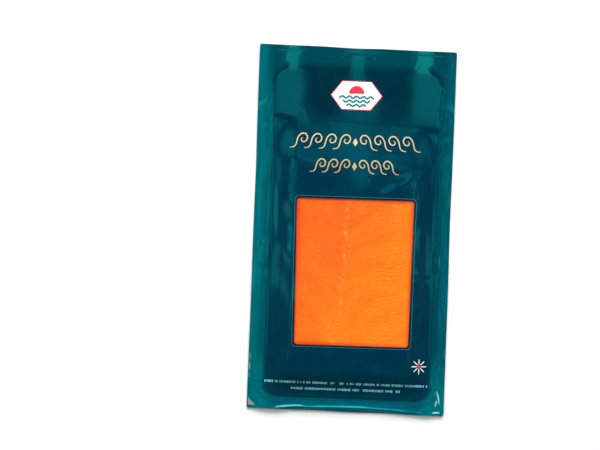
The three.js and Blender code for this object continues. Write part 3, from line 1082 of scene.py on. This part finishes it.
# %% Salmon flesh: its colours at the left and at the right
FLESH = ((0.99, 0.137, 0.003, 1), (0.99, 0.243, 0.002, 1))
DEEP_FLESH = ((0.98, 0.108, 0.004, 1), (0.98, 0.190, 0.003, 1))
PALE_FLESH = ((0.99, 0.215, 0.012, 1), (0.99, 0.345, 0.010, 1))
SEAM_FLESH, BONE_SPOT = (0.97, 0.115, 0.004, 1), (1.0, 0.42, 0.13, 1)
SHADED_EDGE_FLESH = ((0.90, 0.085, 0.005, 1), (0.80, 0.045, 0.004, 1))
GRAIN, FLESH_SCATTER = (260.0, 4.0), (1.0, 0.35, 0.12)
# reach across in millimetres, muscle lines along, and detail of each field of noise
BLOTCH, BROKEN, FIBRES = (26.0, 5.0, 2.0), (6.0, 1.0, 2.0), (3.0, 0.42, 3.0)
# The flesh turns yellower from left to right, and lower down; blotches blur that.
YELLOWER, YELLOWER_DOWN, BLOTCH_SWAY = (-60.0, 85.0), -0.5, 95
YELLOWER_BELOW, BELOW_SHARE = (-25.0, 20.0), 18

flesh, bench, shader = principled(
    "salmon_flesh", roughness=0.4, subsurface_weight=0.2, subsurface_scale=0.001,
    specular_ior_level=0.12,
)
shader.inputs["Subsurface Radius"].default_value = FLESH_SCATTER
where, px, py = object_place(bench)
count, spots, shows = (bench.stored(label) for label in ("muscle", "pin_bones", "marbling"))
grain = bench.noise(where, *GRAIN) - 0.5


def along_lines(reach_mm, line_count, detail):
    """Noise whose blotches are drawn out along the muscle lines."""
    place = bench.node("ShaderNodeCombineXYZ", None, {
        "X": px / reach_mm, "Y": (count + grain * 0.6) / line_count,
    })
    return bench.noise(place, 1.0, detail)


blotch, broken, fibres = (along_lines(*field) for field in (BLOTCH, BROKEN, FIBRES))
downwards = py * YELLOWER_DOWN - bench.clamp(py, *YELLOWER_BELOW) * BELOW_SHARE
to_right = bench.clamp(px + downwards + (blotch - 0.5) * BLOTCH_SWAY, *YELLOWER)
base, deep, pale = (bench.mix(to_right, *pair) for pair in (FLESH, DEEP_FLESH, PALE_FLESH))
print("salmon flesh: three colours, each from left to right")

# %% Salmon flesh: blotches, lines, fibres, spots and painted shade at the edge
DEEP_BLOTCH, UNBROKEN = (0.62, 0.36), (0.36, 0.58)
DEEP_FIBRE, PALE_FIBRE = (0.5, 0.3), (0.5, 0.72)
LEFT_OF_SEAM, RIGHT_OF_SEAM, UP_THE_SEAM = (-15.0, -9.0), (-4.0, -7.0), (-50.0, -20.0)
FAINTEST_LINE, LINES_AT_LEFT, MORE_AT_RIGHT, RIGHT_HALF = 0.45, 0.88, 0.04, (-8.0, 8.0)
EDGE_SHADE_REACH, EDGE_SHADE_DARKER_LEFT = (-3.4, -0.6), (20.0, -30.0)

beside_seam = bench.clamp(px, *LEFT_OF_SEAM) * bench.clamp(px, *RIGHT_OF_SEAM)
wave = bench.math("SINE", (count + grain * 1.1) * math.tau) * 0.5 + 0.5
strength = (shows * (1 - FAINTEST_LINE) + FAINTEST_LINE) * bench.clamp(broken, *UNBROKEN)
strength = strength * (bench.clamp(px, *RIGHT_HALF) * MORE_AT_RIGHT + LINES_AT_LEFT)
# Painted shade: the flesh is painted darker and redder along the window's edge, most on the left.
painted_edge_shade = bench.clamp(far_from(bench, px, py, OPENING, OPENING_CORNER), *EDGE_SHADE_REACH)
edge_shade_colour = bench.mix(bench.clamp(px, *EDGE_SHADE_DARKER_LEFT), *SHADED_EDGE_FLESH)
colour = base
for share, tone in (
    (bench.clamp(blotch, *DEEP_BLOTCH) * 0.5, deep),
    (beside_seam * bench.clamp(py, *UP_THE_SEAM) * 0.5, SEAM_FLESH),
    ((1 - wave) * strength, deep), (wave * wave * strength * 0.9, pale),
    (bench.clamp(fibres, *DEEP_FIBRE) * 0.45, deep),
    (bench.clamp(fibres, *PALE_FIBRE) * 0.45, pale),
    (spots * 0.68, BONE_SPOT), (painted_edge_shade * 0.8, edge_shade_colour),
):
    colour = bench.mix(share, colour, tone)
bench.link(colour, shader.inputs["Base Color"])
print("salmon flesh:", len(bench.tree.nodes), "nodes")

# %% [markdown]
# ## The rest of the print
#
# With the inks mixed, the repeated marks can be made: two friezes of curling gold waves that
# run towards a lozenge in the middle, two rows of small white ticks, a plain badge with a sun
# over waves, a small flower, and a small pale triangle in the lower left corner.

# %% A gold wave
WAVE_POINTS = [(-5.6, -4.6), (-3.4, -4.3), (-1.9, -2.9), (-1.3, -0.6), (-0.4, 2.3), (1.6, 4.4),
               (4.0, 4.3), (5.3, 2.2), (4.4, -0.2), (2.4, -0.8), (1.4, 0.6), (2.3, 1.9)]


def smooth_path(points, pieces):
    """A Catmull-Rom curve through points."""
    points = np.array([points[0], *points, points[-1]], float)
    found = []
    for p0, p1, p2, p3 in zip(points, points[1:], points[2:], points[3:]):
        for t in np.linspace(0, 1, pieces, endpoint=False):
            found.append(0.5 * (2 * p1 + (p2 - p0) * t + (2 * p0 - 5 * p1 + 4 * p2 - p3) * t**2
                                + (3 * p1 - p0 - 3 * p2 + p3) * t**3))
    return np.array(found + [points[-1]])


def hidden(shape):
    """Takes a pattern shape out of the scene; rows copy it."""
    bpy.context.scene.collection.objects.unlink(shape)
    return shape


def wave_shape(name, scale, thick, mirror=1):
    """One curling wave; thin at both ends, thick along its back."""
    path = smooth_path(WAVE_POINTS, 5) * scale
    path[:, 0] *= mirror
    swell = np.sin(np.pi * np.linspace(0.06, 0.94, len(path))) ** 0.7
    return hidden(stroke(name, path, thick * (0.25 + 0.75 * swell)))


# %% Two friezes of gold waves, each with a lozenge in its middle
# scale, stroke, waves on each side, pitch, and place along the pack
FRIEZES = {"upper": (1.22, 0.95, 4, 11.0, 67.3), "lower": (1.08, 1.0, 3, 9.3, 48.6)}
MIDDLE_GAP = 4.8
LOZENGE = [(0, -3.2), (1.9, 0), (0, 3.2), (-1.9, 0)]

waves = {}
for label, (scale, thick, units, pitch, at_y) in FRIEZES.items():
    for side, mirror in (("left", 1), ("right", -1)):
        shape = wave_shape(f"wave_{label}_{side}", scale, thick, mirror)
        first = -mirror * (MIDDLE_GAP + pitch / 2)
        name = f"gold_waves_{label}_{side}"
        waves[name] = row(
            name, shape, units, (first, at_y), -mirror * pitch, plain_inks["gold_ink"],
        )
        print(name, len(waves[name].data.polygons), "faces")
    middle = dense(LOZENGE, step=1.0)
    lozenge = plate(f"gold_lozenge_{label}", [(cx, cy + at_y) for cx, cy in middle], rings=3)
    waves[lozenge.name] = lozenge
for piece in waves.values():
    lay_on_film(piece, turn=0)

# %% Rows of small ticks
# first and last tick, place along the pack, and seed
TICK_ROWS = {"upper": (-62.0, 62.4, -118.1, 4), "lower": (-41.4, 41.8, -122.9, 9)}
TICK_PITCH, TICK_HALF, TICK_STROKE, TICK_TURN = 1.15, 0.9, 0.72, math.radians(0.15)

tick = hidden(stroke("tick", [(0, -TICK_HALF), (0, TICK_HALF)], TICK_STROKE))
ticks = []
for label, (first, last, at_y, seed) in TICK_ROWS.items():
    places = int((last - first) / TICK_PITCH) + 1
    made = row(
        f"white_ticks_{label}", tick, places, (first, at_y), TICK_PITCH, plain_inks["ice_ink"],
        least=0.7, most=1.15, left_out=0.15, seed=seed,
    )
    ticks.append(lay_on_film(made, TICK_TURN))
    print(made.name, len(made.data.polygons), "faces")

# %% The badge
BADGE, BADGE_SIZE, BADGE_RIM = (-0.4, 103.4), (38.5, 21.2, 22.0), 0.6
SUN_AT, SUN_RADIUS = (0, 1.4), 6.0
SEA_HALVES, SEA_TOP, SEA_PITCH = (13.5, 10.5, 7.5), -1.4, 3.1
SEA_SWELL, SEA_TURNS, SEA_STROKE = 0.75, 1.16, 1.5


def on_badge(points):
    """Points given from the middle of the badge."""
    return [(BADGE[0] + cx, BADGE[1] + cy) for cx, cy in points]


def badge_outline(width, height, shoulder, grown=0.0):
    """A flat hexagon with its points at the left and right."""
    w, h, s = width / 2 + grown * 1.2, height / 2 + grown, shoulder / 2 + grown * 0.4
    return dense(on_badge([(w, 0), (s, h), (-s, h), (-w, 0), (-s, -h), (s, -h)]), step=1.6)


badge_rim = plate("badge_rim", badge_outline(*BADGE_SIZE, BADGE_RIM), layer=1)
badge_face = plate("badge_face", badge_outline(*BADGE_SIZE), layer=2)
badge_sun = plate("badge_sun", on_badge(arc(SUN_AT, SUN_RADIUS, 0, 180, 20)), layer=3, rings=3)
badge_waves = []
for level, half in enumerate(SEA_HALVES):
    path = [
        (across, SEA_TOP - SEA_PITCH * level + SEA_SWELL * math.cos(across * SEA_TURNS))
        for across in half * np.linspace(-1, 1, 61)
    ]
    badge_waves.append(stroke(f"badge_wave_{level}", on_badge(path), SEA_STROKE, layer=3))
badge = [badge_rim, badge_face, badge_sun, *badge_waves]
for piece in badge:
    lay_on_film(piece, turn=0)
print("badge:", [piece.name for piece in badge])

# %% The flower mark and the corner triangle
FLOWER, PETALS, HEART_RADIUS = (55.6, -102.8), 8, 1.0
PETAL_MIDDLE, PETAL_HALF_LENGTH, PETAL_HALF_WIDTH = 3.7, 2.3, 0.36
CORNER_MARK = [(-74.2, -137.2), (-69.4, -137.1), (-74.3, -131.6)]

petals = []
for turn in range(PETALS):
    angle = math.tau * turn / PETALS
    way = np.array([math.cos(angle), math.sin(angle)])
    side = np.array([-way[1], way[0]])
    outline = [
        np.array(FLOWER) + way * (PETAL_MIDDLE + PETAL_HALF_LENGTH * math.cos(a))
        + side * PETAL_HALF_WIDTH * math.sin(a)
        for a in np.linspace(0, math.tau, 16, endpoint=False)
    ]
    petals.append(lay_on_film(plate(f"flower_petal_{turn}", outline, rings=3)))
heart = arc(FLOWER, HEART_RADIUS, 0, 340, 17)
flower_heart = lay_on_film(plate("flower_heart", heart, rings=2))
corner_mark = lay_on_film(plate("corner_mark", dense(CORNER_MARK, step=1.0), rings=4))
print("flower:", len(petals), "petals; corner mark:", len(corner_mark.data.polygons), "faces")

# %% Each piece's finish and body
marks = {
    "line_ink": [window_line],
    "gold_ink": list(waves.values()),
    "pale_ink": [corner_mark],
    "white_ink": [badge_face, *petals],
    "ice_ink": ticks,
    "red_ink": [badge_rim, badge_sun, flower_heart],
    "teal_ink": badge_waves,
}
for finish, pieces in marks.items():
    for piece in pieces:
        piece.data.materials.clear()
        piece.data.materials.append(plain_inks[finish])
        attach(piece, "root")

for piece, finish, slot, node in (
    (front_film, teal_film, "printed_film", "pouch"),
    (back_film, back_ink, "printed_film", "pouch"),
    (window_film, clear_film, "clear_film", "window"),
    (salmon, flesh, "smoked_salmon", "salmon"),
):
    piece.data.materials.append(finish)
    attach(piece, "root")
    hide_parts(node)
print("marks in each ink:", {finish: len(pieces) for finish, pieces in marks.items()})

# %% [markdown]
# ## Table, lamps and camera
#
# The table is a plain pale sheet in a pale room, darker overhead than at the sides. A large key
# lamp beyond the hanging end lights it. The soft lamps face straight down and fade out towards
# their edges, and each is there for something that the film mirrors: the bright margins, the
# streaks on the flanks or the pale shoulders. Long thin lamps hang where the flat film mirrors
# them as three upright bands.

# %% The table
TABLE_SIZE, TABLE_TONE, TABLE_ROUGHNESS = 6.0, (0.9, 0.9, 0.9, 1), 0.7
bpy.ops.mesh.primitive_plane_add(size=TABLE_SIZE, location=(0, 0, 0))
table = bpy.context.object
table.name = "table"
table_top, _, _ = principled("table_top", base_color=TABLE_TONE, roughness=TABLE_ROUGHNESS)
table.data.materials.append(table_top)
print("table:", TABLE_SIZE, "m wide")

# %% Two kinds of lamp


def lamp(name, place, target, width, length, brightness):
    """A soft rectangular lamp that faces a point; brightness 1 looks as bright as white paper."""
    data = bpy.data.lights.new(name, "AREA")
    data.shape = "RECTANGLE"
    data.size = width
    data.size_y = length
    data.energy = brightness * math.pi * width * length
    made = bpy.data.objects.new(name, data)
    made.location = place
    made.rotation_euler = (Vector(target) - Vector(place)).to_track_quat("-Z", "Y").to_euler()
    bpy.context.scene.collection.objects.link(made)
    return made


SOFT_LAMP_HEIGHT = 1.7


def soft_lamp(name, place, width, length, brightness, fades):
    """A lamp that faces straight down; its sides and ends fade over these parts of their halves."""
    made = lamp(name, (*place, SOFT_LAMP_HEIGHT), (*place, 0), width, length, brightness)
    made.data.use_nodes = True
    tree = made.data.node_tree
    bench = Bench(tree)
    strength = 1.0
    where = bench.split(bench.node("ShaderNodeNewGeometry", out=0))
    for part, middle, size, fade in zip(where, place, (width, length), fades):
        strength = bench.clamp(abs(part - middle) / (size / 2), 1.0, 1.0 - fade) * strength
    bench.link(strength, tree.nodes["Emission"].inputs["Strength"])
    return made


# %% The key lamp and the soft lamps
KEY_AT, KEY_SIZE, KEY_BRIGHTNESS = (0.0, 2.2, 1.25), (3.0, 1.2), 9.7
# place, width and length in metres, brightness, and the faded parts of the sides and ends
SOFT_LAMPS = {
    "left_lamp": ((-1.32, 0.035), 1.86, 0.08, 2.4, (0.55, 0.6)),
    "left_low_lamp": ((-2.10, -0.064), 3.4, 0.06, 1.9, (0.4, 0.6)),
    "left_high_lamp": ((-1.50, 0.125), 2.2, 0.09, 1.1, (0.3, 0.5)),
    "left_margin_lamp": ((-0.25, -0.03), 0.22, 0.46, 1.4, (0.6, 0.6)),
    "upper_left_lamp": ((-1.78, 1.28), 3.3, 2.2, 1.1, (0.5, 0.5)),
    "right_margin_lamp": ((0.33, -0.02), 0.20, 0.50, 1.15, (0.6, 0.6)),
    "right_lamp": ((0.60, -0.03), 0.32, 0.18, 2.9, (0.6, 0.6)),
    "right_high_lamp": ((1.42, 0.115), 1.9, 0.09, 0.8, (0.3, 0.5)),
    "right_low_lamp": ((2.30, -0.050), 3.0, 0.06, 1.7, (0.3, 0.4)),
    "upper_right_lamp": ((1.86, 1.28), 3.3, 2.2, 0.5, (0.5, 0.5)),
}
lamp("key_softbox", KEY_AT, (0, 0, 0), *KEY_SIZE, KEY_BRIGHTNESS)
for name, numbers in SOFT_LAMPS.items():
    soft_lamp(name, *numbers)
print("lamps: the key and", len(SOFT_LAMPS), "soft ones")

# %% The three long lamps
# Each stretch: the band's middle and width on the pack, where it runs along Y, its brightness
# in green and in blue. All are in millimetres, as they look in the flat film.
CAMERA = Vector((-0.0399, 0.00225, 2.0))
TUBE_HEIGHT = 1.6
TUBES = {
    "left_tube": (-50.8, 9.6, 122.5, 190, 3.15, 2.75),
    "left_tube_far": (-50.8, 12.0, 190, 600, 1.6, 1.8),
    "left_tube_near": (-52.0, 22.0, 70, 122.5, 1.85, 2.2),
    "middle_tube": (-0.3, 10.6, 110, 160, 1.9, 1.9),
    "middle_tube_near": (2.7, 27.5, 46, 110, 1.23, 1.66),
    "middle_tube_far": (2.7, 29.0, 160, 860, 1.6, 2.1),
    "right_tube": (50.7, 12.6, 122.5, 190, 3.8, 3.45),
    "right_tube_far": (50.7, 14.0, 190, 600, 1.6, 1.8),
    "right_tube_near": (55.4, 22.8, 70, 122.5, 1.85, 2.2),
}
FLAT_REACH = 200
FISH_SKEW = (75 - TAPER_FROM) * FISH_TAPER
spread = (CAMERA.z + TUBE_HEIGHT) / CAMERA.z
for name, (band_x, width, low_y, high_y, green, blue) in TUBES.items():
    tube_x = CAMERA.x + (band_x * MM - CAMERA.x) * spread
    tube_y = CAMERA.y + ((low_y + high_y) / 2 * MM - CAMERA.y) * spread
    tube = lamp(name, (tube_x, tube_y, TUBE_HEIGHT), (tube_x, tube_y, 0),
                width * MM * spread, (high_y - low_y) * MM * spread, green)
    tube.data.color = (1, 1, blue / green)
    if high_y > FLAT_REACH:
        along = tube_y - (CAMERA.y + (low_y * MM - CAMERA.y) * spread)
        tube.rotation_euler.z -= FISH_SKEW
        tube.location.x += math.sin(FISH_SKEW) * along
print("long lamps:", list(TUBES))

# %% The air round the table: darker overhead than at the sides
AIR_AT_SIDES, AIR_OVERHEAD = (1.25, 1.27, 1.3, 1), (0.33, 0.33, 0.33, 1)
DARKER_FROM = (0.1, 0.35)
world = bpy.data.worlds.new("pale_room")
world.use_nodes = True
bpy.context.scene.world = world
bench = Bench(world.node_tree)
_, _, up = bench.split(bench.node("ShaderNodeTexCoord", out=0))
air = bench.mix(bench.clamp(up, *DARKER_FROM), AIR_AT_SIDES, AIR_OVERHEAD)
bench.link(air, world.node_tree.nodes["Background"].inputs["Color"])
print("air: from", AIR_AT_SIDES[:3], "at the sides to", AIR_OVERHEAD[:3], "overhead")

# %% The camera looks straight down, turned a little
FRAME_WIDTH, SENSOR = 0.4615, 36
CAMERA_TURN = math.radians(2.3)
camera_data = bpy.data.cameras.new("camera")
camera_data.sensor_width = SENSOR
camera_data.lens = SENSOR * CAMERA.z / FRAME_WIDTH
camera = bpy.data.objects.new("camera", camera_data)
camera.location = CAMERA
camera.rotation_euler = (0, 0, CAMERA_TURN)
bpy.context.scene.collection.objects.link(camera)
bpy.context.scene.camera = camera
bpy.context.scene.view_settings.view_transform = "Standard"
print("camera:", round(camera_data.lens), "mm lens at", tuple(camera.location))
